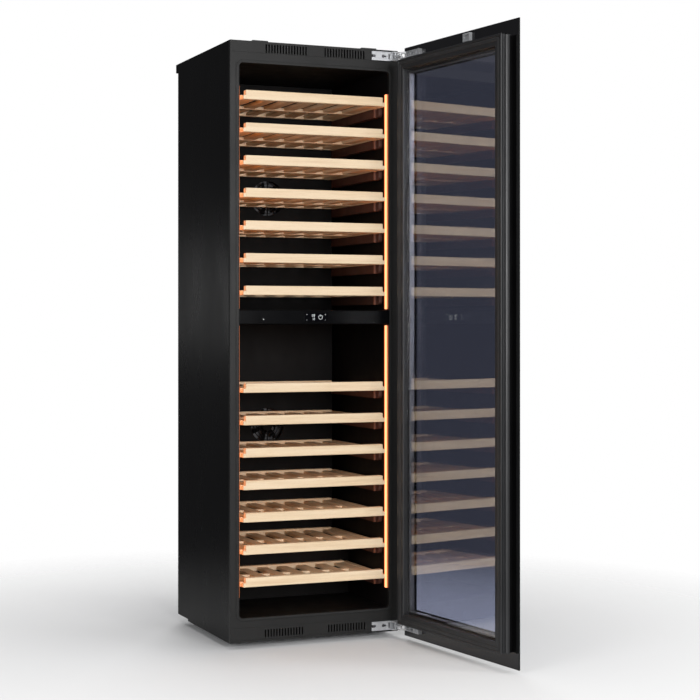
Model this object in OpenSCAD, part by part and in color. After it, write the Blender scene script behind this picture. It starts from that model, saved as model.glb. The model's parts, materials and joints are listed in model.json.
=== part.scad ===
/* [Cabinet] */
// Width of the cabinet body
cab_w = 540; // [536:1:546]
// Depth of the cabinet body without the rear spacers
cab_d = 512; // [505:1:520]
// Height of the cabinet body without feet
cab_h = 1770; // [1768:1:1774]
// Thickness of the outer steel sheet
sheet_t = 1; // [0.8:0.1:2]
// Thickness of the inner lining sheet
liner_t = 2; // [1.5:0.5:4]

/* [Front frame] */
// Clear width of the cavity opening
opening_w = 483; // [480:1:486]
// Height of the opening's lower edge above the underside
opening_z0 = 72; // [70:1:76]
// Height of the opening's upper edge above the underside
opening_z1 = 1705; // [1702:1:1708]
// Corner radius of the opening
opening_r = 12; // [6:1:16]
// Thickness of the front frame
frame_t = 12; // [10:1:14]
// Width of the raised lip around the opening
lip_w = 8.5; // [6:0.5:9]

/* [Ventilation] */
// Slots in each grille group of the top strip
vent_slots = 15; // [8:1:15]
// Slots in each grille group of the plinth strip
plinth_slots = 14; // [8:1:15]
// Distance from one slot to the next
vent_pitch = 9; // [8:0.5:9]
// Width of one slot
vent_slot_w = 4; // [3:0.5:5]
// Distance from the middle of the cabinet to the middle of a grille group
vent_group_x = 94; // [90:1:100]

/* [Door] */
// How far the door stands open
door_angle = 96.7; // [80:0.1:105]
// Width of the outer glass panel
panel_w = 594; // [590:1:596]
// Height of the outer glass panel
panel_h = 1783; // [1780:1:1786]
// Thickness of the outer glass panel
panel_t = 5; // [4:0.5:5]
// Thickness of the door frame behind the panel
door_t = 40; // [38:1:42]
// Width of the door frame's stiles
stile_w = 31; // [28:1:34]
// Depth of the inner glass below the frame's face
glass_recess = 15; // [10:1:18]
// Gap between the closed door frame and the cabinet
door_gap = 2; // [1.5:0.1:3]

/* [Shelves] */
// Height of the lowest shelf of the upper zone
upper_z0 = 1022; // [1020:1:1024]
// Distance between shelves in the upper zone
upper_pitch = 96; // [95:0.1:96.5]
// Height of the lowest shelf of the lower zone
lower_z0 = 162.4; // [161:0.1:164]
// Distance between shelves in the lower zone
lower_pitch = 95.3; // [94.5:0.1:95.5]
// Width of a shelf's front rail
rail_w = 441; // [436:1:444]
// Height of a shelf's front rail
rail_h = 27.5; // [25:0.5:30]
// Thickness of a shelf's front rail
rail_t = 22; // [18:1:24]
// Slats in one shelf
slat_count = 7; // [5:1:7]
// Width of one slat
slat_w = 34; // [30:1:46]

/* [Light strips] */
// How far the light strips stand in front of the side walls
led_proud = 5.5; // [4:0.5:6.5]
// Width of the light strips along the depth
led_w = 24; // [16:1:26]

/* [Hidden] */
$fn = 48;
shelves_per_zone = 7;
half_w = cab_w / 2;
front_y = -cab_d / 2;
back_y = cab_d / 2;
seam_top = cab_h - 34;                      // joint between front frame and top grille strip
seam_bottom = 44;                           // joint between front frame and plinth grille strip
frame_back = front_y + frame_t;
lip_proud = 0.6;
open_x = opening_w / 2;

// cavity and the step over the machine compartment
cavity_back = 205;
step_y = 62;
step_z = 240;
divider_z0 = 936;
divider_z1 = 978;
foam_z0 = 8.5;
machine_y0 = 92;
machine_z1 = 207;
machine_half_w = 262;
machine_y = 195;                            // middle of the compressor and condenser
condenser_fan_x = -84;
duct_h = 34;                                // air ducts through the foam, floor and roof
duct_half_w = 168;
raised_len = 105;                           // rear stretch of the base that is raised
raised_z = 6.5;

// outer panel, door frame and the virtual hinge axis, in the closed position
panel_in = front_y - door_gap - door_t;
door_in = front_y - door_gap;
panel_z0 = -8.8;
door_z0 = 35;
door_z1 = 1731;
hinge_x = 283;
hinge_y = front_y - 45.7;
window_x = half_w - stile_w;
glass_t = 4;
glass_ledge = 8;
gasket_w = 11;
gasket_in = 7;                              // from the door frame's outer edge to the gasket
gasket_proud = 1.4;

// hinge links: base pins, door pins in the closed position, link thickness
hinge_mid_z = cab_h / 2;                    // the bottom hinge mirrors the top one about this height
hinge_z0 = 1737;
hinge_h = 27;
pin_r = 2.2;
pin_clear = 0.05;
base_pin_a = [256.07, front_y - 14.0];
base_pin_b = [263.06, front_y - 8.74];
door_pin_a = [286.48, front_y - 20.94];
door_pin_b = [289.84, front_y - 26.91];
link_len_a = 31.2;
link_len_b = 32.37;
link_rest_a = -86.43;                       // direction of each link with the door at rest
link_rest_b = -89.15;
link_b_z = hinge_z0 + 6;
link_a_z = hinge_z0 + 11;
link_t = 4.5;

// shelves
shelf_bottom = 306;
shelf_depth = 406;
tongue_x = 228;
runner_x = 231;
support_x = 221;
support_h = 26;
support_front = front_y + 50;
slat_t = 10;

// fans
fan_r = 52;
fan_upper_z = 1340;
fan_lower_z = 610;
cover_y = 160;
rotor_y = 169.5;
rotor_t = 16;

// mounts
anchor_r = 3.25;
anchor_x = 170;
anchor_y = 120;
tab_x = 175;
tab_hole_r = 2.25;
tab_y = front_y + 14;
foot_x = 215;
foot_front_y = -150;
foot_rear_y = 190;
foot_drop = 18;

// ---- helpers ----
// box from its two extreme corners
module box(a, b) { translate(a) cube(b - a); }

// both the right-hand piece and its mirror image on the left
module both_sides() { children(); mirror([1, 0, 0]) children(); }

// the top piece and its mirror image at the bottom of the cabinet
module top_and_bottom() {
    children();
    translate([0, 0, 2 * hinge_mid_z]) mirror([0, 0, 1]) children();
}

// plate in the XZ plane with rounded corners
module round_plate(x, z0, z1, r, y0, y1) {
    box([-x + r, y0, z0], [x - r, y1, z1]);
    box([-x, y0, z0 + r], [x, y1, z1 - r]);
    for (px = [-x + r, x - r], pz = [z0 + r, z1 - r])
        translate([px, y0, pz]) rotate([-90, 0, 0]) cylinder(r = r, h = y1 - y0);
}

// flat bar between two points with round eyes at its ends
module link_bar(p, q, r, z, t) {
    len = norm(q - p);
    ang = atan2(q[1] - p[1], q[0] - p[0]);
    w = 2 * r - 1.6;                        // narrower than the eyes at its ends
    translate([p[0], p[1], z]) rotate([0, 0, ang]) translate([0, -w / 2, 0]) cube([len, w, t]);
    for (c = [p, q]) translate([c[0], c[1], z]) cylinder(r = r, h = t);
}

// carries door pieces from the closed position to the open one
module swing() {
    translate([hinge_x, hinge_y, 0]) rotate([0, 0, door_angle]) translate([-hinge_x, -hinge_y, 0])
        children();
}

// height of shelf n, counted from the top shelf down
function shelf_z(n) = n <= shelves_per_zone
    ? upper_z0 + (shelves_per_zone - n) * upper_pitch
    : lower_z0 + (2 * shelves_per_zone - n) * lower_pitch;

// ---- outer cabinet ----
module side_panel() {
    profile = [[frame_back, 0], [back_y - raised_len, 0], [back_y - raised_len, raised_z],
               [back_y, raised_z], [back_y, cab_h], [frame_back, cab_h]];
    color([0.05, 0.05, 0.05]) translate([half_w - sheet_t, 0, 0]) rotate([90, 0, 90])
        linear_extrude(sheet_t) polygon(profile);
}

module side_panel_right() { side_panel(); }

module side_panel_left() { mirror([1, 0, 0]) side_panel(); }

module top_panel() {
    inner = half_w - sheet_t;
    color([0.05, 0.05, 0.05]) difference() {
        box([-inner, frame_back, cab_h - sheet_t], [inner, back_y - sheet_t, cab_h]);
        both_sides() translate([tab_x, tab_y, cab_h - 5]) cylinder(r = tab_hole_r, h = 10);
    }
}

module back_panel() {
    inner = half_w - sheet_t;
    color([0.3, 0.31, 0.32]) difference() {
        box([-inner, back_y - sheet_t, foam_z0], [inner, back_y, cab_h]);
        for (i = [0 : 7], side = [-1, 1])
            translate([side * 100 - 80, back_y - 5, 70 + 14 * i]) cube([160, 10, 5]);
        translate([-225, back_y - 5, 60]) rotate([-90, 0, 0]) cylinder(r = 9, h = 10);
        for (side = [-1, 1])
            translate([side * 94 - 66, back_y - 5, seam_top + 4]) cube([132, 10, 20]);
    }
}

module base_plate() {
    inner = half_w - sheet_t;
    step = back_y - raised_len;
    color([0.55, 0.56, 0.57]) difference() {
        union() {
            box([-inner, frame_back, 0], [inner, step, 2]);
            box([-inner, step - 2, 0], [inner, step, raised_z + 2]);
            box([-inner, step - 1, raised_z], [inner, back_y - sheet_t, raised_z + 2]);
        }
        for (x = [-anchor_x, anchor_x], y = [-anchor_y, anchor_y])
            translate([x, y, -5]) cylinder(r = anchor_r, h = 12);
        for (i = [0 : 5]) translate([-60, 165 + 13 * i, 0]) cube([120, 6, 20]);
    }
}

module vent_cut(z0, z1, slots, group_x) {
    for (side = [-1, 1], i = [0 : slots - 1]) {
        x = side * group_x + (i - (slots - 1) / 2) * vent_pitch;
        box([x - vent_slot_w / 2, front_y - 5, z0], [x + vent_slot_w / 2, frame_back + 5, z1]);
    }
}

module top_vent_rail() {
    color([0.2, 0.2, 0.2]) difference() {
        box([-half_w, front_y, seam_top], [half_w, frame_back, cab_h]);
        vent_cut(seam_top + 2, cab_h - 7, vent_slots, vent_group_x);
    }
}

module bottom_vent_rail() {
    color([0.2, 0.2, 0.2]) difference() {
        box([-half_w, front_y, 0], [half_w, frame_back, seam_bottom]);
        vent_cut(12, 34, plinth_slots, vent_group_x + 7);
        box([-half_w - 1, front_y - 1, 6.5], [half_w + 1, front_y + 0.8, 7.3]);
    }
}

module front_frame() {
    groove_x = half_w - 18;
    color([0.23, 0.23, 0.23]) difference() {
        union() {
            box([-half_w, front_y, seam_bottom], [half_w, frame_back, seam_top]);
            round_plate(open_x + lip_w, opening_z0 - lip_w, opening_z1 + lip_w, opening_r + lip_w,
                        front_y - lip_proud, front_y + 1);
        }
        round_plate(open_x, opening_z0, opening_z1, opening_r, front_y - 5, frame_back + 5);
        both_sides()
            box([groove_x - 0.6, front_y - 5, opening_z0], [groove_x + 0.6, front_y + 0.8, opening_z1]);
    }
}

// ---- cavity lining ----
module liner_wall() {
    shelf_back = step_y + liner_t;
    shelf_top = step_z - liner_t;
    profile = [[frame_back, opening_z0], [shelf_back, opening_z0], [shelf_back, shelf_top],
               [cavity_back, shelf_top], [cavity_back, opening_z1], [frame_back, opening_z1]];
    color([0.08, 0.08, 0.08]) translate([open_x, 0, 0]) rotate([90, 0, 90])
        linear_extrude(liner_t) polygon(profile);
}

module liner_wall_right() { liner_wall(); }

module liner_wall_left() { mirror([1, 0, 0]) liner_wall(); }

module liner_back() {
    color([0.08, 0.08, 0.08]) box([-open_x - liner_t, cavity_back, step_z],
                                  [open_x + liner_t, cavity_back + liner_t, opening_z1]);
}

module liner_ceiling() {
    color([0.08, 0.08, 0.08]) box([-open_x - liner_t, frame_back, opening_z1],
                                  [open_x + liner_t, cavity_back + liner_t, opening_z1 + liner_t]);
}

module liner_floor() {
    color([0.08, 0.08, 0.08]) {
        box([-open_x, frame_back, opening_z0 - liner_t], [open_x, step_y + liner_t, opening_z0]);
        box([-open_x, step_y, opening_z0 - liner_t], [open_x, step_y + liner_t, step_z]);
        box([-open_x, step_y, step_z - liner_t], [open_x, cavity_back, step_z]);
    }
}

module foam_insulation() {
    inner = half_w - sheet_t;
    cav_x = open_x + liner_t;
    color([0.85, 0.8, 0.6]) difference() {
        box([-inner, frame_back, foam_z0], [inner, back_y - sheet_t, cab_h - sheet_t]);
        box([-cav_x, frame_back - 1, step_z - liner_t], [cav_x, cavity_back + liner_t, opening_z1 + liner_t]);
        box([-cav_x, frame_back - 1, opening_z0 - liner_t], [cav_x, step_y + liner_t, step_z]);
        box([-machine_half_w, machine_y0, 0], [machine_half_w, back_y, machine_z1]);
        box([-duct_half_w, frame_back - 1, 0], [duct_half_w, machine_y0 + 1, duct_h + foam_z0]);
        box([-duct_half_w, frame_back - 1, seam_top + 2], [duct_half_w, back_y, seam_top + 24]);
    }
}

module zone_divider() {
    color([0.1, 0.1, 0.1]) box([-open_x, frame_back + 8, divider_z0],
                               [open_x, cover_y, divider_z1]);
}

// ---- controls and lights ----
module control_panel() {
    color([0.04, 0.04, 0.045]) difference() {
        box([-open_x, front_y - 1, divider_z0], [open_x, frame_back + 8, divider_z1]);
        box([-38, front_y - 5, divider_z0 + 9], [38, front_y + 2, divider_z1 - 9]);
        box([193, front_y - 5, divider_z0 - 1], [194, front_y, divider_z1 + 1]);
    }
}

module display_window() {
    color([0.02, 0.02, 0.03])
        round_plate(37.8, divider_z0 + 9.2, divider_z1 - 9.2, 3, front_y - 0.7, front_y + 2);
}

module led_strip() {
    y0 = front_y + 7;
    color([1, 0.9, 0.6]) for (z = [[132, divider_z0 - 4], [divider_z1 + 4, 1637]])
        box([open_x - led_proud, y0, z[0]], [open_x, y0 + led_w, z[1]]);
}

module led_strip_right() { led_strip(); }

module led_strip_left() { mirror([1, 0, 0]) led_strip(); }

// ---- shelf supports: a rib under each shelf side, with a rounded nose ----
module support_rib(z, y1) {
    nose = 12;
    over_step = z > step_z && z - support_h < step_z && y1 > step_y;
    box([support_x, support_front + 20, z - support_h], [open_x, over_step ? step_y - 2 : y1, z - 0.4]);
    if (over_step) box([support_x, step_y - 3, step_z + 0.2], [open_x, y1, z - 0.4]);
    box([support_x + 8, support_front + nose, z - support_h], [open_x, support_front + 21, z - 0.4]);
    box([support_x + 8, support_front, z - support_h + nose], [open_x, support_front + nose + 1, z - 0.4]);
    translate([support_x + 8, support_front + nose, z - support_h + nose]) rotate([0, 90, 0])
        cylinder(r = nose, h = open_x - support_x - 8);
}

module shelf_supports() {
    color([0.1, 0.08, 0.08]) for (n = [1 : 2 * shelves_per_zone])
        support_rib(shelf_z(n), n == 2 * shelves_per_zone ? step_y - 2 : cover_y - 2);
}

module shelf_supports_right() { shelf_supports(); }

module shelf_supports_left() { mirror([1, 0, 0]) shelf_supports(); }

// ---- cooling system ----
module duct_cover(fan_z, z0, z1) {
    x = 225;
    hub_r = 17;
    ring_w = 2.5;
    color([0.12, 0.12, 0.12]) {
        difference() {
            box([-x, cover_y, z0], [x, cover_y + 3, z1]);
            translate([0, cover_y - 5, fan_z]) rotate([-90, 0, 0]) cylinder(r = fan_r + 4, h = 15);
        }
        for (side = [-1, 1], z = [z0, z1 - 8])
            box([side * (x - 4) - 4, cover_y + 2, z], [side * (x - 4) + 4, cavity_back, z + 8]);
        for (r = [26, 36, 46]) translate([0, cover_y, fan_z]) rotate([-90, 0, 0]) difference() {
            cylinder(r = r + ring_w, h = 3);
            translate([0, 0, -1]) cylinder(r = r, h = 5);
        }
        translate([0, 0, fan_z]) difference() {
            union() {
                box([-fan_r - 6, cover_y, -2], [fan_r + 6, cover_y + 3, 2]);
                box([-2, cover_y, -fan_r - 6], [2, cover_y + 3, fan_r + 6]);
                translate([0, cover_y, 0]) rotate([-90, 0, 0]) cylinder(r = hub_r, h = 8.5);
            }
            translate([0, cover_y + 2, 0]) rotate([-90, 0, 0]) cylinder(r = 2 + pin_clear, h = 10);
        }
    }
}

module duct_cover_upper() { duct_cover(fan_upper_z, divider_z1 + 2, opening_z1 - 2); }

module duct_cover_lower() { duct_cover(fan_lower_z, step_z + 2, divider_z0 - 2); }

// seven-bladed fan wheel on a shaft that points towards -Y
module fan_rotor(r, t) {
    blades = 7;
    color([0.15, 0.15, 0.16]) {
        difference() {
            rotate([-90, 0, 0]) cylinder(r = 16, h = t);
            translate([0, t - 2, 0]) rotate([-90, 0, 0]) cylinder(r = 11, h = 5);
        }
        translate([0, -5.5, 0]) rotate([-90, 0, 0]) cylinder(r = 2, h = 7);
        for (i = [0 : blades - 1]) rotate([0, 360 / blades * i, 0]) translate([r / 2 + 7, t / 2, 0])
            rotate([35, 0, 0]) cube([r - 14, 1.6, t - 2], center = true);
    }
}

module fan_rotor_upper() { translate([0, rotor_y, fan_upper_z]) fan_rotor(fan_r, rotor_t); }

module fan_rotor_lower() { translate([0, rotor_y, fan_lower_z]) fan_rotor(fan_r, rotor_t); }

module evaporators() {
    color([0.7, 0.71, 0.72]) for (z = [[1010, 1680], [270, 900]]) {
        box([-180, cavity_back - 2, z[0]], [180, cavity_back, z[1]]);
        for (i = [0 : 8]) translate([-160 + 40 * i, cavity_back - 4, z[0] + 20])
            cylinder(r = 3.5, h = z[1] - z[0] - 40, $fn = 24);
    }
}

module compressor() {
    r = 56;
    color([0.08, 0.08, 0.09]) translate([95, machine_y, raised_z + 2]) {
        rotate_extrude() polygon([[0, 14], [r - 8, 14], [r, 24], [r, 108], [r - 10, 128], [r - 30, 138],
                                  [0, 142]]);
        box([-80, -40, 6], [80, 40, 14]);
        for (x = [-66, 66], y = [-30, 30]) translate([x, y, 0]) cylinder(r = 9, h = 7);
    }
}

module condenser() {
    color([0.16, 0.16, 0.17]) {
        for (i = [0 : 15]) {
            x = -170 + 5 * i;
            box([x, machine_y - 45, raised_z + 2], [x + 1, machine_y + 50, 150]);
        }
        for (z = [30 : 26 : 134], dy = [-26, 2, 30]) translate([-172, machine_y + dy, z]) rotate([0, 90, 0])
            cylinder(r = 3.5, h = 84, $fn = 24);
    }
    color([0.1, 0.1, 0.1]) translate([condenser_fan_x, machine_y, 66]) rotate([0, 90, 0]) difference() {
        union() {
            difference() {
                translate([-57.5, -57.5, 0]) cube([115, 115, 3]);
                translate([0, 0, -1]) cylinder(r = 54, h = 5);
            }
            box([-57.5, -2.5, 0], [57.5, 2.5, 3]);
            cylinder(r = 17, h = 8.5);
        }
        translate([0, 0, 2]) cylinder(r = 2 + pin_clear, h = 10);
    }
}

module condenser_fan_rotor() {
    translate([condenser_fan_x + 9.5, machine_y, 66]) rotate([0, 0, -90]) fan_rotor(50, 14);
}

module drip_tray() {
    color([0.15, 0.15, 0.15]) difference() {
        box([20, machine_y0, 160], [175, 235, 184]);
        box([22, machine_y0 + 2, 162], [173, 233, 190]);
    }
}

module electronics_box() {
    color([0.2, 0.2, 0.21]) difference() {
        box([-machine_half_w, 110, 80], [-197, 235, 180]);
        box([-machine_half_w + 2, 112, 82], [-199, 233, 178]);
    }
}

module cable_gland() {
    color([0.06, 0.06, 0.06]) translate([-225, 0, 60]) rotate([-90, 0, 0]) difference() {
        union() {
            translate([0, 0, back_y - 12]) cylinder(r = 12.5, h = 10);
            translate([0, 0, back_y - 4]) cylinder(r = 8.8, h = 5);
            translate([0, 0, back_y + 0.2]) cylinder(r = 12.5, h = 5);
            translate([0, 0, back_y + 4]) cylinder(r = 7.5, h = 14);
        }
        translate([0, 0, back_y - 20]) cylinder(r = 3.75, h = 50);
    }
}

// ---- feet, spacers and fixing tabs ----
module foot(x, y, plate_z) {
    translate([x, y, -foot_drop]) {
        cylinder(r = 20, h = 4);
        translate([0, 0, 4]) cylinder(r = 17, h = 4);
        cylinder(r = 5, h = foot_drop + plate_z);
        translate([0, 0, 8]) cylinder(r = 9, h = 4, $fn = 6);
    }
}

module levelling_feet() {
    color([0.12, 0.12, 0.12]) for (side = [-1, 1]) {
        foot(side * foot_x, foot_front_y, 0);
        foot(side * foot_x, foot_rear_y, raised_z);
    }
}

module rear_spacers() {
    color([0.06, 0.06, 0.06]) both_sides() difference() {
        box([half_w - 60, back_y, cab_h - 27], [half_w, back_y + 22, cab_h]);
        box([half_w - 57, back_y + 3, cab_h - 30], [half_w - 3, back_y + 19, cab_h - 3]);
        translate([half_w - 5, back_y + 11, cab_h - 13]) rotate([0, 90, 0]) cylinder(r = 2.5, h = 10);
    }
}

module fixing_tabs() {
    color([0.75, 0.76, 0.78]) both_sides() difference() {
        box([tab_x - 24, front_y, cab_h], [tab_x + 24, front_y + 28, cab_h + 3]);
        translate([tab_x, tab_y, cab_h - 1]) cylinder(r = tab_hole_r, h = 6);
    }
}

// ---- hinges ----
module hinge_base() {
    z1 = hinge_z0 + hinge_h;
    x0 = 182.5;
    x1 = 262.5;
    mid = hinge_z0 + hinge_h / 2;
    lug = [[244, front_y], [269, front_y], [269, front_y - 14], [262, front_y - 21],
           [249, front_y - 21], [244, front_y - 15]];
    difference() {
        union() {
            box([x0, front_y - 3, hinge_z0], [x1, front_y, z1]);
            translate([0, 0, hinge_z0]) linear_extrude(2.5) polygon(lug);
            translate([0, 0, z1 - 3]) linear_extrude(2.5) polygon(lug);
            box([x0, front_y - 5.5, hinge_z0], [x1 - 16, front_y - 2, hinge_z0 + 2]);
            box([x0, front_y - 5.5, z1 - 2], [x1 - 16, front_y - 2, z1]);
            for (p = [base_pin_a, base_pin_b]) translate([p[0], p[1], hinge_z0])
                cylinder(r = pin_r, h = hinge_h);
        }
        box([x0 - 1, front_y - 9, mid - 4.25], [x0 + 9, front_y + 1, mid + 4.25]);
        translate([x0 + 9, front_y + 1, mid]) rotate([90, 0, 0]) cylinder(r = 4.25, h = 10);
        translate([220.5, front_y + 1, mid]) rotate([90, 0, 0]) cylinder(r = 4.75, h = 10);
        box([220.5, front_y - 9, mid - 2.4], [230, front_y + 1, mid + 2.4]);
        box([238, front_y - 9, mid - 8], [242, front_y + 1, mid + 8]);
    }
}

module hinge_bases() { color([0.78, 0.79, 0.81]) top_and_bottom() hinge_base(); }

module hinge_base_screws() {
    mid = hinge_z0 + hinge_h / 2;
    color([0.25, 0.25, 0.26]) top_and_bottom() for (x = [190.5, 220.5])
        translate([x, front_y, mid]) rotate([90, 0, 0]) difference() {
            cylinder(r = 4, h = 2.6);
            translate([-3, -0.6, 1.6]) cube([6, 1.2, 2]);
            translate([-0.6, -3, 1.6]) cube([1.2, 6, 2]);
        }
}

module hinge_link(p, len, ang, z) {
    q = p + len * [cos(ang), sin(ang)];
    difference() {
        link_bar(p, q, 4.6, z, link_t);
        translate([p[0], p[1], z - 1]) cylinder(r = pin_r + pin_clear, h = link_t + 2);
    }
}

module hinge_link_front() {
    color([0.82, 0.83, 0.85]) top_and_bottom()
        hinge_link(base_pin_a, link_len_a, link_rest_a, link_a_z);
}

module hinge_link_rear() {
    color([0.82, 0.83, 0.85]) top_and_bottom()
        hinge_link(base_pin_b, link_len_b, link_rest_b, link_b_z);
}

// channel on the outer panel, with an upper and a lower nose that carry the links' far pins
module hinge_arm() {
    z0 = hinge_z0 + 4;
    z1 = hinge_z0 + 22;
    mid = (z0 + z1) / 2;
    x1 = half_w + 5;
    x0 = x1 - 78;
    arm_h = 13;
    face = panel_in + arm_h;
    difference() {
        union() {
            box([x0, panel_in, z0], [x1, face, z1]);
            link_bar([x1 - 8, panel_in + 7], door_pin_a, 4.6, hinge_z0 + 16.5, 5.5);
            link_bar([x1 - 8, panel_in + 7], door_pin_b, 4.6, hinge_z0 + 3, 2.6);
            translate([door_pin_a[0], door_pin_a[1], hinge_z0 + 15.9]) cylinder(r = 2.5, h = 2);
            translate([door_pin_b[0], door_pin_b[1], hinge_z0 + 4]) cylinder(r = 2.5, h = 1.7);
        }
        box([x1 - 26, face - 8, mid + 1.5], [x1 - 10, face + 1, z1 - 2.5]);
        box([x1 - 26, face - 8, z0 + 2.5], [x1 - 10, face + 1, mid - 1.5]);
        box([x1 - 47, face - 9, mid - 1.8], [x1 - 33, face + 1, mid + 1.8]);
        box([x1 - 41.8, face - 9, mid - 7], [x1 - 38.2, face + 1, mid + 7]);
        box([x0 + 8, face - 3, z0 + 3], [x0 + 18, face + 1, z1 - 3]);
    }
}

module hinge_arms() { color([0.78, 0.79, 0.81]) swing() top_and_bottom() hinge_arm(); }

// ---- door ----
module door_glass() {
    color([0.03, 0.03, 0.035]) swing() round_plate(panel_w / 2, panel_z0, panel_z0 + panel_h, 2,
                                                   panel_in - panel_t, panel_in);
}

module door_ring(in, depth0, depth1, w) {
    difference() {
        box([-half_w + in, door_in - depth1, door_z0 + in], [half_w - in, door_in - depth0, door_z1 - in]);
        box([-half_w + in + w, door_in - depth1 - 1, door_z0 + in + w],
            [half_w - in - w, door_in - depth0 + 1, door_z1 - in - w]);
    }
}

module door_frame() {
    groove = 4;
    color([0.17, 0.17, 0.17]) swing() difference() {
        box([-half_w, panel_in, door_z0], [half_w, door_in, door_z1]);
        box([-window_x, door_in - glass_recess - glass_t - 0.2, door_z0 + stile_w],
            [window_x, door_in + 1, door_z1 - stile_w]);
        box([-window_x + glass_ledge, panel_in - 1, door_z0 + stile_w + glass_ledge],
            [window_x - glass_ledge, door_in + 1, door_z1 - stile_w - glass_ledge]);
        door_ring(gasket_in, -1, groove, gasket_w);
        box([-half_w - 1, door_in - 15, door_z0 - 1], [-half_w + 3, door_in - 7, door_z1 + 1]);
    }
}

module door_gasket() {
    color([0.09, 0.09, 0.09]) swing() door_ring(gasket_in + 0.1, -gasket_proud, 3.9, gasket_w - 0.2);
}

module inner_glass() {
    z0 = door_z0 + stile_w + 0.4;
    z1 = door_z1 - stile_w - 0.4;
    color([0.18, 0.19, 0.24]) swing() box([-window_x + 0.4, door_in - glass_recess - glass_t, z0],
                                          [window_x - 0.4, door_in - glass_recess, z1]);
}

module grip_profile() {
    x0 = -panel_w / 2 + 1;
    color([0.05, 0.05, 0.05]) swing() {
        box([x0, panel_in, door_z0 + 3], [-half_w, panel_in + 2, door_z1 - 3]);
        box([x0, panel_in, door_z0 + 3], [x0 + 2.5, panel_in + 7, door_z1 - 3]);
        box([-half_w - 2, panel_in, door_z0 + 3], [-half_w, panel_in + 11, door_z1 - 3]);
    }
}

module panel_bracket() {
    z0 = 1743;
    color([0.6, 0.61, 0.62]) swing() difference() {
        box([-70, panel_in, z0], [-34, panel_in + 9, z0 + 24]);
        box([-64, panel_in + 3, z0 + 5], [-40, panel_in + 10, z0 + 19]);
    }
}

// ---- shelves ----
// wooden tray: front rail, two side runners, slats from front to back and a back rail
module shelf(n) {
    z = shelf_z(n);
    depth = n == 2 * shelves_per_zone ? shelf_bottom : shelf_depth;
    y0 = front_y;
    y1 = front_y + depth;
    slat_pitch = (rail_w - 14 - slat_w) / (slat_count - 1);
    color([0.93, 0.82, 0.65]) {
        box([-rail_w / 2, y0, z], [rail_w / 2, y0 + rail_t, z + rail_h]);
        box([-rail_w / 2 + 8, y1 - 18, z], [rail_w / 2 - 8, y1, z + 18]);
        box([-rail_w / 2 + 8, y0 + depth * 0.55, z], [rail_w / 2 - 8, y0 + depth * 0.55 + 24, z + slat_t]);
        both_sides() box([rail_w / 2 - 6, y0 + rail_t - 1, z], [runner_x, y1, z + 14]);
        both_sides() box([rail_w / 2 - 1, y0, z], [tongue_x, y0 + rail_t, z + 12]);
        for (i = [0 : slat_count - 1]) {
            x = (i - (slat_count - 1) / 2) * slat_pitch;
            box([x - slat_w / 2, y0 + rail_t - 1, z + 2], [x + slat_w / 2, y1 - 1, z + 2 + slat_t]);
        }
    }
}

side_panel_left();
side_panel_right();
top_panel();
back_panel();
base_plate();
front_frame();
top_vent_rail();
bottom_vent_rail();
liner_wall_left();
liner_wall_right();
liner_back();
liner_ceiling();
liner_floor();
foam_insulation();
zone_divider();
control_panel();
display_window();
led_strip_left();
led_strip_right();
shelf_supports_left();
shelf_supports_right();
duct_cover_upper();
duct_cover_lower();
evaporators();
compressor();
condenser();
drip_tray();
electronics_box();
cable_gland();
levelling_feet();
rear_spacers();
fixing_tabs();
hinge_bases();
hinge_base_screws();
hinge_link_front();
hinge_link_rear();
hinge_arms();
door_glass();
door_frame();
door_gasket();
inner_glass();
grip_profile();
panel_bracket();
fan_rotor_upper();
fan_rotor_lower();
condenser_fan_rotor();
shelf(1);  // shelf_01
shelf(2);  // shelf_02
shelf(3);  // shelf_03
shelf(4);  // shelf_04
shelf(5);  // shelf_05
shelf(6);  // shelf_06
shelf(7);  // shelf_07
shelf(8);  // shelf_08
shelf(9);  // shelf_09
shelf(10);  // shelf_10
shelf(11);  // shelf_11
shelf(12);  // shelf_12
shelf(13);  // shelf_13
shelf(14);  // shelf_14
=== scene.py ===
import bmesh
import bpy
import json
import math
from mathutils import Matrix, Vector


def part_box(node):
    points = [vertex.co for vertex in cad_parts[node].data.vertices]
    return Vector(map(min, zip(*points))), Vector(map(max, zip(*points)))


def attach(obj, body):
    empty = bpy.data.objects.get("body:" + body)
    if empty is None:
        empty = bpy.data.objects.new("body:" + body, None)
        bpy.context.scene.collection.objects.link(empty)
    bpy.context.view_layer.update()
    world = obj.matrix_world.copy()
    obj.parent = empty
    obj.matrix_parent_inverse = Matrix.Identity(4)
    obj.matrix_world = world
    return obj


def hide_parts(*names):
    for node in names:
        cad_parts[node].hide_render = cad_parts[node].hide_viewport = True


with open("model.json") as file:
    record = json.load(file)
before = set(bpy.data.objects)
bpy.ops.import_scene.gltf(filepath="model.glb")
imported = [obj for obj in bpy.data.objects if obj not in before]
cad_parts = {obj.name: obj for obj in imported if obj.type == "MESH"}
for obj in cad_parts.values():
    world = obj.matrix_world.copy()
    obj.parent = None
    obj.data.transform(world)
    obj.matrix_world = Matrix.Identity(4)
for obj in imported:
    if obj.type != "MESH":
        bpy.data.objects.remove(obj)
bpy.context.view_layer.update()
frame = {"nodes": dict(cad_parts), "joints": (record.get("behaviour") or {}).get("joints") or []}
print("cabinet frame loaded:", len(frame["nodes"]), "nodes")

mm = 0.001
scene = bpy.context.scene

# the door is drawn shut and then swung to where it stands open
doorJoint = next(j for j in frame["joints"] if j["name"] == "door_hinge")
hingePoint = Vector(doorJoint["pos_m"])
openAngle = math.radians(-doorJoint["range_deg"][0])
doorSwing = (Matrix.Translation(hingePoint) @ Matrix.Rotation(openAngle, 4, "Z")
             @ Matrix.Translation(-hingePoint))

# camera
cameraLook = {
    "place": (-1.8576, -4.8763, 0.9441),
    "turn": -23.084,        # degrees about the vertical
    "lens": 85.64,
    "shiftY": -0.0407,
}


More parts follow.
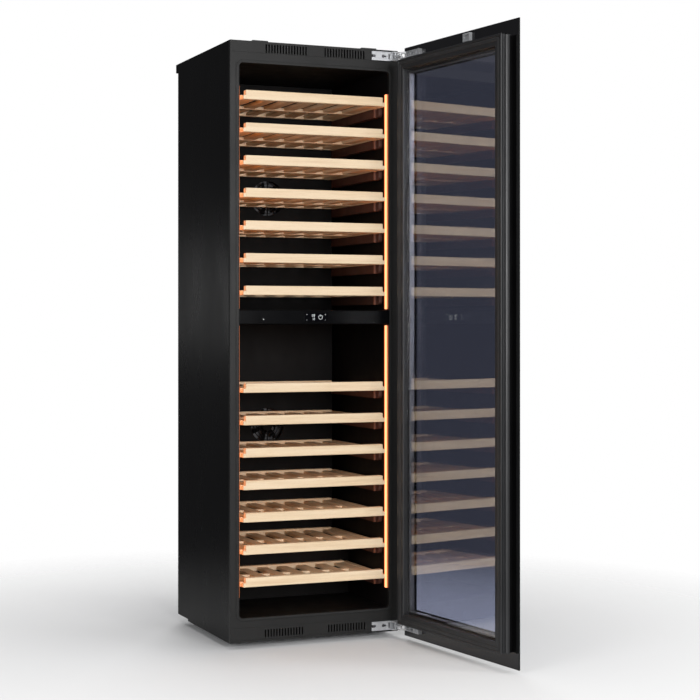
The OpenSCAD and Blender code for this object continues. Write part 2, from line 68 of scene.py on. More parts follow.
def makeCamera():
    data = bpy.data.cameras.new("studioCamera")
    data.sensor_width = 36
    data.lens = cameraLook["lens"]
    data.shift_y = cameraLook["shiftY"]
    data.clip_end = 60
    camera = bpy.data.objects.new("studioCamera", data)
    camera.location = cameraLook["place"]
    camera.rotation_euler = (math.radians(90), 0, math.radians(cameraLook["turn"]))
    scene.collection.objects.link(camera)
    scene.camera = camera


makeCamera()
print("camera set")


# ways to make a material
def addNode(tree, kind, **values):
    node = tree.nodes.new(kind)
    for name, value in values.items():
        setattr(node, name, value)
    return node


def startMaterial(name, colour, roughness, metallic=0.0, **sockets):
    material = bpy.data.materials.new(name)
    material.use_nodes = True
    material.diffuse_color = (*colour, 1)
    tree = material.node_tree
    shader = tree.nodes["Principled BSDF"]
    shader.inputs["Base Color"].default_value = (*colour, 1)
    shader.inputs["Roughness"].default_value = roughness
    shader.inputs["Metallic"].default_value = metallic
    for socket, value in sockets.items():
        shader.inputs[socket.replace("_", " ")].default_value = value
    coords = addNode(tree, "ShaderNodeTexCoord").outputs["Object"]
    return material, tree, shader, coords


def noiseOf(tree, coords, scale, detail=4.0, stretch=(1, 1, 1), rough=0.55):
    mapping = addNode(tree, "ShaderNodeMapping")
    mapping.inputs["Scale"].default_value = stretch
    tree.links.new(coords, mapping.inputs["Vector"])
    noise = addNode(tree, "ShaderNodeTexNoise")
    noise.inputs["Scale"].default_value = scale
    noise.inputs["Detail"].default_value = detail
    noise.inputs["Roughness"].default_value = rough
    tree.links.new(mapping.outputs["Vector"], noise.inputs["Vector"])
    return noise.outputs["Fac"]


def rampOf(tree, source, stops):
    ramp = addNode(tree, "ShaderNodeValToRGB")
    while len(ramp.color_ramp.elements) < len(stops):
        ramp.color_ramp.elements.new(0.5)
    for element, (place, colour) in zip(ramp.color_ramp.elements, stops):
        element.position = place
        element.color = (*colour, 1)
    tree.links.new(source, ramp.inputs["Fac"])
    return ramp.outputs["Color"]


def rangeOf(tree, source, low, high, fromLow=0.3, fromHigh=0.7):
    node = addNode(tree, "ShaderNodeMapRange")
    node.inputs["From Min"].default_value = fromLow
    node.inputs["From Max"].default_value = fromHigh
    node.inputs["To Min"].default_value = low
    node.inputs["To Max"].default_value = high
    tree.links.new(source, node.inputs["Value"])
    return node.outputs["Result"]


def mathOf(tree, operation, first, second):
    node = addNode(tree, "ShaderNodeMath", operation=operation)
    for socket, value in zip(node.inputs, (first, second)):
        if isinstance(value, (int, float)):
            socket.default_value = value
        else:
            tree.links.new(value, socket)
    return node.outputs["Value"]


def bumpOn(tree, shader, height, strength, distance):
    bump = addNode(tree, "ShaderNodeBump")
    bump.inputs["Strength"].default_value = strength
    bump.inputs["Distance"].default_value = distance
    tree.links.new(height, bump.inputs["Height"])
    tree.links.new(bump.outputs["Normal"], shader.inputs["Normal"])


# painted, moulded and glossy surfaces share one recipe: tone, sheen and a fine grain
surfaceLook = {
    # name: colour, lighter tone, roughness from, to, grain scale, grain depth, blotch scale, coat
    "blackSheet": ((0.0020, 0.0020, 0.0021), (0.0032, 0.0032, 0.0033), 0.25, 0.31, 1500, 0.04, 2.5, 0.0),
    "framePlastic": ((0.0085, 0.0084, 0.0082), (0.0115, 0.0113, 0.0110), 0.42, 0.52, 1900, 0.10, 6, 0.0),
    "darkLining": ((0.0040, 0.0036, 0.0036), (0.0065, 0.0058, 0.0058), 0.40, 0.52, 1300, 0.10, 5, 0.0),
    # shelf supports: their reddish colour is painted glow from the amber light strips, not the plastic's own
    # colour
    "supportPaintedGlow": ((0.070, 0.032, 0.024), (0.092, 0.043, 0.032), 0.42, 0.55, 1500, 0.10, 9, 0.0),
    "innerPlastic": ((0.0040, 0.0040, 0.0042), (0.0065, 0.0065, 0.0068), 0.50, 0.62, 1200, 0.12, 8, 0.0),
    "tabPlastic": ((0.012, 0.012, 0.013), (0.018, 0.018, 0.019), 0.42, 0.55, 1300, 0.10, 14, 0.0),
    "glossBlack": ((0.0025, 0.0025, 0.003), (0.004, 0.004, 0.0045), 0.14, 0.20, 400, 0.005, 12, 0.0),
    "displayGlass": ((0.002, 0.002, 0.003), (0.003, 0.003, 0.004), 0.05, 0.10, 300, 0.002, 20, 0.0),
    "compressorPaint": ((0.015, 0.015, 0.017), (0.024, 0.024, 0.026), 0.22, 0.34, 180, 0.25, 14, 0.3),
    "gasketRubber": ((0.026, 0.026, 0.027), (0.036, 0.036, 0.037), 0.48, 0.60, 900, 0.10, 18, 0.0),
    "doorPlastic": ((0.018, 0.0185, 0.020), (0.025, 0.0255, 0.027), 0.36, 0.46, 1700, 0.08, 6, 0.0),
    "gripBlack": ((0.0022, 0.0022, 0.0024), (0.0036, 0.0036, 0.0038), 0.45, 0.58, 1400, 0.05, 9, 0.0),
    "bracketPlastic": ((0.30, 0.31, 0.32), (0.38, 0.39, 0.40), 0.42, 0.55, 1300, 0.10, 20, 0.0),
    "footRubber": ((0.020, 0.020, 0.020), (0.030, 0.030, 0.030), 0.55, 0.70, 900, 0.15, 25, 0.0),
    "blackPrint": ((0.004, 0.004, 0.005), (0.006, 0.006, 0.007), 0.04, 0.08, 40, 0.0005, 6, 0.2),
    "groundRim": ((0.006, 0.0065, 0.007), (0.010, 0.011, 0.011), 0.45, 0.60, 900, 0.10, 20, 0.0),
    "sealBlack": ((0.008, 0.008, 0.008), (0.013, 0.013, 0.013), 0.45, 0.60, 800, 0.10, 20, 0.0),
    "graphiteFoam": ((0.045, 0.045, 0.050), (0.075, 0.075, 0.080), 0.75, 0.90, 420, 0.60, 30, 0.0),
}
# how strongly a surface mirrors its surroundings, where it isn't the usual half
usualSheen = 0.5
sheenOf = {
    "blackSheet": 0.04,
    "framePlastic": 0.26,
    "darkLining": 0.1,
    "supportPaintedGlow": 0.25,
    "innerPlastic": 0.08,
    "glossBlack": 0.03,
    "displayGlass": 0.08,
    "gripBlack": 0.06,
    "groundRim": 0.1,
}


def surface(name):
    dark, light, roughLow, roughHigh, grain, depth, blotch, coat = surfaceLook[name]
    material, tree, shader, coords = startMaterial(name, dark, roughHigh, Coat_Weight=coat)
    shader.inputs["Coat Roughness"].default_value = 0.08
    shader.inputs["Specular IOR Level"].default_value = sheenOf.get(name, usualSheen)
    tone = noiseOf(tree, coords, blotch, 5)
    tree.links.new(rampOf(tree, tone, [(0.32, dark), (0.68, light)]), shader.inputs["Base Color"])
    smears = noiseOf(tree, coords, blotch * 3, 6, (1, 1, 0.35))
    tree.links.new(rangeOf(tree, smears, roughLow, roughHigh), shader.inputs["Roughness"])
    bumpOn(tree, shader, noiseOf(tree, coords, grain, 2), depth, 0.0004)
    return material


# zinc-coated sheet with its crystal spangle
zincLook = {
    "dull": (0.29, 0.30, 0.31),
    "bright": (0.36, 0.37, 0.39),
    "metal": 0.85,
    "spangle": 260,
    "rough": (0.36, 0.52),
    "grain": 700,
}


def zincSheet(name):
    look = zincLook
    material, tree, shader, coords = startMaterial(name, look["bright"], 0.42, look["metal"])
    cells = addNode(tree, "ShaderNodeTexVoronoi")
    cells.inputs["Scale"].default_value = look["spangle"]
    tree.links.new(coords, cells.inputs["Vector"])
    grey = addNode(tree, "ShaderNodeRGBToBW")
    tree.links.new(cells.outputs["Color"], grey.inputs["Color"])
    tree.links.new(rampOf(tree, grey.outputs["Val"], [(0.2, look["dull"]), (0.8, look["bright"])]),
                   shader.inputs["Base Color"])
    tree.links.new(rangeOf(tree, grey.outputs["Val"], *look["rough"], 0.2, 0.8), shader.inputs["Roughness"])
    bumpOn(tree, shader, noiseOf(tree, coords, look["grain"], 3), 0.06, 0.0003)
    return material


# hinges, screws, fins and the spacer between the panes
metalLook = {
    # name: colour, roughness from, to, how fine the brush lines run each way, how metallic
    "hingeZinc": ((0.62, 0.63, 0.65), 0.26, 0.40, (60, 900, 900), 0.6),
    "screwSteel": ((0.16, 0.16, 0.17), 0.28, 0.42, (500, 500, 90), 1.0),
    "finAluminium": ((0.14, 0.14, 0.15), 0.45, 0.60, (500, 500, 30), 0.5),
    "spacerAluminium": ((0.52, 0.50, 0.46), 0.38, 0.50, (300, 300, 20), 1.0),
}


def brushedMetal(name):
    colour, roughLow, roughHigh, lines, metal = metalLook[name]
    material, tree, shader, coords = startMaterial(name, colour, roughHigh, metal)
    darker = tuple(c * 0.8 for c in colour)
    tone = noiseOf(tree, coords, 40, 4)
    tree.links.new(rampOf(tree, tone, [(0.3, darker), (0.7, colour)]), shader.inputs["Base Color"])
    streak = noiseOf(tree, coords, 1, 5, lines, 0.7)
    tree.links.new(rangeOf(tree, streak, roughLow, roughHigh), shader.inputs["Roughness"])
    bumpOn(tree, shader, streak, 0.12, 0.0002)
    return material


# shelf wood
beechLook = {
    "pale": (0.88, 0.70, 0.485),
    "mid": (0.83, 0.635, 0.415),
    "dark": (0.74, 0.535, 0.325),
    "fleck": (0.56, 0.355, 0.195),
    "roughness": (0.40, 0.54),
}


def beech(name, along):
    # figure, pores and short dark flecks, all drawn out along the grain
    material, tree, shader, coords = startMaterial(name, beechLook["mid"], 0.5)

    def drawnOut(lengthwise, crosswise):
        return tuple(lengthwise if i == along else crosswise for i in range(3))

    figure = noiseOf(tree, coords, 1, 5, drawnOut(3.5, 75), 0.6)
    streak = noiseOf(tree, coords, 1, 4, drawnOut(22, 900), 0.6)
    both = mathOf(tree, "ADD", mathOf(tree, "MULTIPLY", figure, 0.6), mathOf(tree, "MULTIPLY", streak, 0.4))
    wood = rampOf(tree, both, [(0.36, beechLook["dark"]),
                               (0.48, beechLook["mid"]),
                               (0.62, beechLook["pale"])])
    flecks = noiseOf(tree, coords, 1, 1, drawnOut(260, 2400), 0.4)
    mask = rangeOf(tree, flecks, 0.0, 0.55, 0.66, 0.74)
    mix = addNode(tree, "ShaderNodeMix", data_type="RGBA")
    tree.links.new(mask, mix.inputs[0])
    tree.links.new(wood, mix.inputs[6])
    mix.inputs[7].default_value = (*beechLook["fleck"], 1)
    tree.links.new(mix.outputs[2], shader.inputs["Base Color"])
    tree.links.new(rangeOf(tree, both, *beechLook["roughness"]), shader.inputs["Roughness"])
    bumpOn(tree, shader, both, 0.25, 0.0003)
    return material


# the two panes of the door: tint, and how strongly each mirrors
glassLook = {
    "innerPane": {"tint": (0.79, 0.785, 0.805), "ior": 1.9},
    "smokedPane": {"tint": (0.60, 0.66, 0.90), "ior": 1.5},
}


def clearPane(name):
    # faint waviness, and smears that hardly change the tint
    tint = glassLook[name]["tint"]
    material, tree, shader, coords = startMaterial(name, tint, 0.02, Transmission_Weight=1.0)
    shader.inputs["IOR"].default_value = glassLook[name]["ior"]
    smears = noiseOf(tree, coords, 7, 6, (1, 1, 0.4))
    tree.links.new(rangeOf(tree, smears, 0.0, 0.035), shader.inputs["Roughness"])
    smeared = tuple(c * 0.985 for c in tint)
    tree.links.new(rampOf(tree, smears, [(0.3, smeared), (0.7, tint)]), shader.inputs["Base Color"])
    bumpOn(tree, shader, noiseOf(tree, coords, 5, 1), 0.05, 0.00002)
    return material


# light strips: the milky cover, and the lamps that stand for its light in the cavity
lightLook = {
    "cover": (0.30, 0.16, 0.06),
    "core": (1.0, 0.355, 0.150),        # pale amber once it is this bright
    "nearEdge": (0.14, 0.014, 0.0006),
    "farEdge": (0.20, 0.036, 0.004),
    "strength": 2.5,
    "lampColour": (1.0, 0.34, 0.08),
    "lampDepth": 0.09,
    "lampBehind": 40,       # millimetres past the cover
    "lampWatts": 0.28,      # for one upper length
    "lampTurn": 0.75,
    "lampSpread": 130,
}


def diffuser(name, nearY, farY):
    # brightest along its middle
    material, tree, shader, coords = startMaterial(name, lightLook["cover"], 0.4)
    shader.inputs["Emission Strength"].default_value = lightLook["strength"]
    split = addNode(tree, "ShaderNodeSeparateXYZ")
    tree.links.new(coords, split.inputs["Vector"])
    place = rangeOf(tree, split.outputs["Y"], 0.0, 1.0, nearY, farY)
    grain = mathOf(tree, "MULTIPLY", noiseOf(tree, coords, 300, 2), 0.05)
    glow = rampOf(tree, mathOf(tree, "ADD", place, grain),
                  [(0.0, lightLook["nearEdge"]), (0.08, lightLook["nearEdge"]), (0.17, lightLook["core"]),
                   (0.48, lightLook["core"]), (0.72, lightLook["farEdge"])])
    tree.links.new(glow, shader.inputs["Emission Color"])
    tree.links.new(rangeOf(tree, noiseOf(tree, coords, 60, 3), 0.35, 0.5), shader.inputs["Roughness"])
    return material


signLook = {"colour": (0.80, 0.84, 0.86), "strength": 0.55}


def litSign(name):
    colour = signLook["colour"]
    material, tree, shader, coords = startMaterial(name, colour, 0.4)
    shader.inputs["Emission Strength"].default_value = signLook["strength"]
    tone = noiseOf(tree, coords, 500, 2)
    tree.links.new(rampOf(tree, tone, [(0.3, tuple(c * 0.8 for c in colour)), (0.7, colour)]),
                   shader.inputs["Emission Color"])
    return material


finish = {name: surface(name) for name in surfaceLook}
finish["zincSheet"] = zincSheet("zincSheet")
for name in metalLook:
    finish[name] = brushedMetal(name)
finish["beechAcross"] = beech("beechAcross", 0)
finish["beechAlong"] = beech("beechAlong", 1)
for name in glassLook:
    finish[name] = clearPane(name)
finish["signLight"] = litSign("signLight")
print("finishes mixed:", len(finish))


# ways to make a shape, in millimetres
def at(x, y, z):
    return Vector((x * mm, y * mm, z * mm))


def paint(faces, index):
    for face in faces:
        face.material_index = index


def addBlock(bm, low, high, edge=0.5, segments=2, index=0):
    # block with every edge rounded over
    made = bmesh.ops.create_cube(bm, size=1.0)["verts"]
    low, high = Vector(low) * mm, Vector(high) * mm
    for vert in made:
        vert.co = Vector(low[i] if vert.co[i] < 0 else high[i] for i in range(3))
    edges = list({e for v in made for e in v.link_edges})
    faces = list({f for v in made for f in v.link_faces})
    paint(faces, index)
    if edge > 0:
        bmesh.ops.bevel(bm, geom=edges, offset=edge * mm, segments=segments, profile=0.5,
                        affect="EDGES", clamp_overlap=True, material=-1)


def addPrism(bm, outline, axis, start, end, edge=0.3, segments=1, index=0, sharpFrom=28):
    # outline drawn across one axis and pushed along it; corners and both ends are eased
    def point(pair, along):
        a, b = pair
        return {"x": at(along, a, b), "y": at(a, along, b), "z": at(a, b, along)}[axis]

    near = [bm.verts.new(point(p, start)) for p in outline]
    far = [bm.verts.new(point(p, end)) for p in outline]
    faces = [bm.faces.new(near), bm.faces.new(far[::-1])]
    for i in range(len(near)):
        j = (i + 1) % len(near)
        faces.append(bm.faces.new((near[j], near[i], far[i], far[j])))
    bmesh.ops.recalc_face_normals(bm, faces=faces)
    paint(faces, index)
    if edge > 0:
        edges = {e for f in faces for e in f.edges}
        sharp = [e for e in edges if e.calc_face_angle(0) > math.radians(sharpFrom)]
        bmesh.ops.bevel(bm, geom=sharp, offset=edge * mm, segments=segments, profile=0.5,
                        affect="EDGES", clamp_overlap=True, material=-1)


def addLathe(bm, centre, axis, profile, steps):
    # profile of (radius, height) pairs turned about an axis
    turn = Vector((0, 0, 1)).rotation_difference(Vector(axis)).to_matrix()
    centre = Vector(centre) * mm
    rings = []
    for radius, height in profile:
        count = 1 if radius < 1e-6 else steps
        ring = []
        for k in range(count):
            angle = math.tau * k / steps
            spot = at(radius * math.cos(angle), radius * math.sin(angle), height)
            ring.append(bm.verts.new(centre + turn @ spot))
        rings.append(ring)
    for a, b in zip(rings, rings[1:]):
        for k in range(steps):
            m = (k + 1) % steps
            corners = [a[k % len(a)], a[m % len(a)], b[m % len(b)], b[k % len(b)]]
            corners = list(dict.fromkeys(corners))
            if len(corners) > 2:
                bm.faces.new(corners)


def addLoop(bm, profile, halfWidth, z0, z1, radius=0.0, steps=8, index=0):
    # profile of (outward, y) pairs carried round a rectangle with rounded corners
    rings = []
    for sx, sz, start in ((1, 1, 0), (-1, 1, 90), (-1, -1, 180), (1, -1, 270)):
        cx = sx * (halfWidth - radius)
        cz = (z1 - radius) if sz > 0 else (z0 + radius)
        for k in range(steps + 1 if radius > 0 else 1):
            if radius > 0:
                angle = math.radians(start + 90 * k / steps)
                way = (math.cos(angle), math.sin(angle))
                rings.append([bm.verts.new(at(cx + way[0] * (radius + out), y, cz + way[1] * (radius + out)))
                              for out, y in profile])
            else:
                rings.append([bm.verts.new(at(cx + sx * out, y, cz + sz * out)) for out, y in profile])
    for i, ring in enumerate(rings):
        other = rings[(i + 1) % len(rings)]
        for k in range(len(profile)):
            m = (k + 1) % len(profile)
            bm.faces.new((ring[k], ring[m], other[m], other[k])).material_index = index


def addMember(bm, side, profile, halfWidth, z0, z1):
    # one side of a mitred frame; profile of (inward, y) pairs from the outer edge
    def ends(inward, y):
        x, top, bottom = halfWidth - inward, z1 - inward, z0 + inward
        return {
            "left": (at(-x, y, bottom), at(-x, y, top)),
            "right": (at(x, y, bottom), at(x, y, top)),
            "top": (at(-x, y, top), at(x, y, top)),
            "bottom": (at(-x, y, bottom), at(x, y, bottom)),
        }[side]

    pairs = [[bm.verts.new(p) for p in ends(*point)] for point in profile]
    bm.faces.new([p[0] for p in pairs])
    bm.faces.new([p[1] for p in reversed(pairs)])
    for i, (a0, a1) in enumerate(pairs):
        b0, b1 = pairs[(i + 1) % len(pairs)]
        bm.faces.new((a0, b0, b1, a1))


def arc(cx, cy, radius, start, end, steps=5):
    return [(cx + radius * math.cos(math.radians(start + (end - start) * k / steps)),
             cy + radius * math.sin(math.radians(start + (end - start) * k / steps)))
            for k in range(steps + 1)]


def finishPiece(name, bm, finishes, body, nodes=(), place=None, smooth=40):
    bmesh.ops.recalc_face_normals(bm, faces=bm.faces)
    mesh = bpy.data.meshes.new(name)
    bm.to_mesh(mesh)
    bm.free()
    if place is not None:
        mesh.transform(place)
    mesh.polygons.foreach_set("use_smooth", [True] * len(mesh.polygons))
    mesh.set_sharp_from_angle(angle=math.radians(smooth))
    for item in finishes:
        mesh.materials.append(finish[item])
    piece = bpy.data.objects.new(name, mesh)
    scene.collection.objects.link(piece)
    even = piece.modifiers.new("evenShading", "WEIGHTED_NORMAL")
    even.keep_sharp = True
    even.weight = 80
    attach(piece, body)
    if nodes:
        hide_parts(*nodes)


# nodes that are shown as they are, each with its finish and how far its edges are eased
dressing = {
    "side_panel_left": ("blackSheet", "body_sheet", 0.3),
    "side_panel_right": ("blackSheet", "body_sheet", 0.3),
    "top_panel": ("blackSheet", "body_sheet", 0.3),
    "back_panel": ("zincSheet", "zinc_sheet", 0.3),
    "base_plate": ("zincSheet", "zinc_sheet", 0.3),
    "front_frame": ("framePlastic", "frame_plastic", 0.5),
    "top_vent_rail": ("framePlastic", "frame_plastic", 0.5),
    "bottom_vent_rail": ("framePlastic", "frame_plastic", 0.5),
    "liner_wall_left": ("darkLining", "liner_plastic", 0.3),
    "liner_wall_right": ("darkLining", "liner_plastic", 0.3),
    "liner_back": ("darkLining", "liner_plastic", 0.3),
    "liner_ceiling": ("darkLining", "liner_plastic", 0.3),
    "liner_floor": ("darkLining", "liner_plastic", 0.3),
    "foam_insulation": ("graphiteFoam", "foam", 0.0),
    "zone_divider": ("darkLining", "liner_plastic", 0.6),
    # shelf supports carry the reddish painted glow of the light strips
    "shelf_supports_left": ("supportPaintedGlow", "liner_plastic", 0.8),
    "shelf_supports_right": ("supportPaintedGlow", "liner_plastic", 0.8),
    "duct_cover_upper": ("innerPlastic", "inner_plastic", 0.5),
    "duct_cover_lower": ("innerPlastic", "inner_plastic", 0.5),
    "evaporators": ("finAluminium", "evaporator_alu", 0.2),
    "compressor": ("compressorPaint", "compressor_paint", 1.0),
    "condenser": ("innerPlastic", "inner_plastic", 0.0),
    "drip_tray": ("innerPlastic", "inner_plastic", 0.5),
    "electronics_box": ("innerPlastic", "inner_plastic", 0.8),
    "cable_gland": ("footRubber", "inner_plastic", 0.5),
    "levelling_feet": ("footRubber", "inner_plastic", 0.6),
    "rear_spacers": ("innerPlastic", "inner_plastic", 0.6),
    "fixing_tabs": ("tabPlastic", "hinge_metal", 0.3),
    "hinge_bases": ("hingeZinc", "hinge_metal", 0.25),
    "hinge_base_screws": ("screwSteel", "screw_steel", 0.25),
    "hinge_link_front": ("hingeZinc", "hinge_metal", 0.4),
    "hinge_link_rear": ("hingeZinc", "hinge_metal", 0.4),
    "hinge_arms": ("hingeZinc", "hinge_metal", 0.4),
    "grip_profile": ("gripBlack", "grip_alu", 0.4),
    "panel_bracket": ("bracketPlastic", "bracket_plastic", 0.7),
    "fan_rotor_upper": ("innerPlastic", "inner_plastic", 0.2),
    "fan_rotor_lower": ("innerPlastic", "inner_plastic", 0.2),
    "condenser_fan_rotor": ("innerPlastic", "inner_plastic", 0.2),
}


def dressNode(name):
    finishName, slot, edge = dressing[name]
    node = frame["nodes"][name]
    node.data.materials.clear()
    node.data.materials.append(finish[finishName])
    if edge > 0:
        weld = node.modifiers.new("weld", "WELD")
        weld.merge_threshold = 0.00002
        ease = node.modifiers.new("ease", "BEVEL")
        ease.width = edge * mm
        ease.segments = 2
        ease.limit_method = "ANGLE"
        ease.angle_limit = math.radians(35)
        ease.harden_normals = True


for nodeName in dressing:
    dressNode(nodeName)
print("cabinet parts dressed:", len(dressing))


# cabinet face: the raised lip that rolls into the cavity
lipMake = {
    "halfWidth": 241.5, "z0": 72, "z1": 1705, "corner": 12,
    "face": -256.0, "width": 8.6, "proud": 0.85, "roll": 4.0,
    "tail": ((-0.2, -244.2), (0.6, -244.2), (2.0, -250.0)),     # runs back into the cavity
}


def makeOpeningLip():
    m = lipMake
    face = m["face"]
    top = face - m["proud"]
    bm = bmesh.new()
    profile = [(m["width"], face + 0.6), (m["width"], face - 0.25), (m["width"] - 0.6, top + 0.15),
               (m["width"] - 1.4, top)]
    roll = m["roll"]
    profile += arc(roll - 0.2, top + roll, roll, 270, 180, 7)
    profile += m["tail"]
    addLoop(bm, profile, m["halfWidth"], m["z0"], m["z1"], m["corner"], 10)
    finishPiece("opening_lip", bm, ["framePlastic"], "cabinet")


makeOpeningLip()
print("opening lip rolled")


# back of the cabinet: pressed ribs, louvre hoods and screws on the sheet
backMake = {
    "y": 256.0,
    "ribs": ((205, 215, 1715), (120, 330, 1600)),       # half width, from, to
    "ribHalf": 5.0, "ribHeight": 1.4, "ribCorner": 30,
    "hoods": 8, "hoodZ": 70, "hoodPitch": 14, "hoodX": 100, "hoodHalf": 82, "hoodDepth": 3.2,
    "screwHead": ((4.4, 0), (4.4, 0.5), (3.9, 1.4), (2.6, 2.0), (1.3, 2.15), (1.3, 1.2), (0, 1.1)),
    "screwX": (-262, 262), "screwZ": (30, 190, 420, 700, 980, 1260, 1500, 1755),
    "lidScrewX": (-150, 0, 150), "lidScrewZ": 196,
}


def makeBackPressings():
    m = backMake
    y, deep = m["y"], m["hoodDepth"]
    bm = bmesh.new()
    bead = [(x * m["ribHalf"], y - 0.2 + h * m["ribHeight"]) for x, h in
            ((-1, 0), (-0.62, 0.55), (-0.3, 0.92), (0, 1.0), (0.3, 0.92), (0.62, 0.55), (1, 0))]
    for half, z0, z1 in m["ribs"]:
        addLoop(bm, bead, half, z0, z1, m["ribCorner"], 8)
    for side in (-1, 1):
        middle = side * m["hoodX"]
        for i in range(m["hoods"]):
            z = m["hoodZ"] + m["hoodPitch"] * i
            hood = [(y - 0.2, z + 8.6), (y + 0.5, z + 8.4), (y + deep, z + 3.4),
                    (y + deep, z + 2.8), (y + deep - 0.8, z + 2.8), (y - 0.2, z + 6.0)]
            addPrism(bm, hood, "x", middle - m["hoodHalf"], middle + m["hoodHalf"], 0.15)
    finishPiece("back_panel_pressings", bm, ["zincSheet"], "cabinet")


def makeBackScrews():
    m = backMake
    bm = bmesh.new()
    places = [(x, z) for x in m["screwX"] for z in m["screwZ"]]
    places += [(x, m["lidScrewZ"]) for x in m["lidScrewX"]]
    for x, z in places:
        addLathe(bm, (x, m["y"] - 0.1, z), (0, 1, 0), m["screwHead"], 20)
    finishPiece("back_panel_screws", bm, ["screwSteel"], "cabinet")


makeBackPressings()
makeBackScrews()
print("back sheet pressed")


# control bar between the two zones
controlMake = {
    "half": 241.4, "z0": 936, "z1": 978, "front": -257.0, "back": -236.0, "nose": 2.4,
    "joint": 193.5, "jointGap": 0.4,
    "window": (37.8, 945.2, 968.8), "windowGap": 0.2, "windowFloor": -253.9,
    "pane": (-256.7, -254.0),
}


def makeControlBar():
    m = controlMake
    bm = bmesh.new()
    f, b, nose = m["front"], m["back"], m["nose"]
    half, z0, z1 = m["window"]
    half, z0, z1 = half + m["windowGap"], z0 - m["windowGap"], z1 + m["windowGap"]
    under = [(b, m["z0"]), (f + nose, m["z0"])] + arc(f + nose, m["z0"] + nose, nose, 270, 180, 6)[1:]
    over = arc(f + nose, m["z1"] - nose, nose, 180, 90, 6) + [(b, m["z1"])]
    # three lengths leave the display opening and the joint near the right end
    lengths = ((-m["half"], -half),
               (half, m["joint"] - m["jointGap"]),
               (m["joint"] + m["jointGap"], m["half"]))
    for x0, x1 in lengths:
        addPrism(bm, under + over, "x", x0, x1, 0.25, 1, 0, 40)
    addBlock(bm, (m["joint"] - 3, f + 1.4, m["z0"] + 0.8), (m["joint"] + 3, b, m["z1"] - 0.8), 0)
    # what is left of the bar under, over and behind the display
    addPrism(bm, under + [(f, z0), (b, z0)], "x", -half, half, 0.0)
    addPrism(bm, [(f, z1)] + over + [(b, z1)], "x", -half, half, 0.0)
    addBlock(bm, (-half, m["windowFloor"], z0 - 0.2), (half, b, z1 + 0.2), 0)
    finishPiece("control_bar", bm, ["glossBlack"], "cabinet", ["control_panel"])


def makeDisplayPane():
    half, z0, z1 = controlMake["window"]
    front, back = controlMake["pane"]
    bm = bmesh.new()
    addBlock(bm, (-half, front, z0), (half, back, z1), 0.6, 3)
    finishPiece("display_pane", bm, ["displayGlass"], "cabinet", ["display_window"])


# what is lit on the bar: temperatures, power ring, touch dots and a pilot lamp
signMake = {
    "front": -256.95, "thick": 0.5,
    "rows": ((952.0, "12"), (962.2, "08")),
    "digitsX": -12.0, "digitHeight": 7.0, "digitWidth": 3.9, "digitGap": 1.5, "stroke": 0.75,
    "ringX": 15.5, "ringRadius": 6.2, "ringHalf": 0.42, "ringSteps": 40, "ringOpen": 3, "stem": (2.2, 8.2),
    "dotsX": (-28, 31),
    "dots": ((8.0, 1.0, 0.7, 14), (-8.0, 0.6, 0.4, 12)),        # height, radius, top radius, facets
    "pilot": (-166, -256.9, 950.5), "pilotShape": ((1.3, 0), (1.3, 0.25), (0.9, 0.4), (0, 0.42)),
}
segmentsOf = {"0": "abcdef", "1": "bc", "2": "abged", "8": "abcdefg"}


def addDigit(bm, digit, x, z):
    m = signMake
    stroke, width, height = m["stroke"], m["digitWidth"], m["digitHeight"]
    half, h = stroke / 2, height / 2
    bars = {
        "a": (x + stroke, z + height - stroke, x + width - stroke, z + height),
        "d": (x + stroke, z, x + width - stroke, z + stroke),
        "g": (x + stroke, z + h - half, x + width - stroke, z + h + half),
        "f": (x, z + h + half, x + stroke, z + height - stroke),
        "b": (x + width - stroke, z + h + half, x + width, z + height - stroke),
        "e": (x, z + stroke, x + stroke, z + h - half),
        "c": (x + width - stroke, z + stroke, x + width, z + h - half),
    }
    for letter in segmentsOf[digit]:
        x0, z0, x1, z1 = bars[letter]
        addBlock(bm, (x0, m["front"], z0), (x1, m["front"] + m["thick"], z1), 0.12, 1)


def addPowerRing(bm, centre):
    m = signMake
    front, back, steps = m["front"], m["front"] + m["thick"], m["ringSteps"]
    inner, outer = m["ringRadius"] - m["ringHalf"], m["ringRadius"] + m["ringHalf"]
    for k in range(steps):
        if abs(k - steps / 4) < m["ringOpen"]:      # open at the top, round the stem
            continue
        a, b = (math.tau * v / steps for v in (k, k + 1))
        corners = [(m["ringX"] + r * math.cos(t), centre + r * math.sin(t))
                   for r, t in ((inner, a), (outer, a), (outer, b), (inner, b))]
        addPrism(bm, corners, "y", front, back, 0.0)
    low, high = m["stem"]
    addBlock(bm, (m["ringX"] - m["ringHalf"], front, centre + low),
             (m["ringX"] + m["ringHalf"], back, centre + high), 0.1, 1)


def makeDisplaySigns():
    m = signMake
    bm = bmesh.new()
    for z, text in m["rows"]:
        for i, digit in enumerate(text):
            x = m["digitsX"] + i * (m["digitWidth"] + m["digitGap"])
            addDigit(bm, digit, x, z - m["digitHeight"] / 2)
    centre = (controlMake["window"][1] + controlMake["window"][2]) / 2
    addPowerRing(bm, centre)
    for x in m["dotsX"]:
        for up, radius, crown, facets in m["dots"]:
            shape = [(radius, 0), (radius, 0.4), (crown, 0.5), (0, 0.5)]
            addLathe(bm, (x, m["front"] + m["thick"], centre + up), (0, -1, 0), shape, facets)
    finishPiece("display_signs", bm, ["signLight"], "cabinet")
    bm = bmesh.new()
    addLathe(bm, m["pilot"], (0, -1, 0), m["pilotShape"], 18)
    finishPiece("pilot_lamp", bm, ["signLight"], "cabinet")


makeControlBar()
makeDisplayPane()
makeDisplaySigns()
print("control bar built")


# light strips down both sides of the opening
stripMake = {
    "near": -249, "far": -225, "wall": 241.5, "front": 236.0, "shoulder": 1.6,
    "runs": ((132, 932), (982, 1637)),      # lower zone, upper zone
}


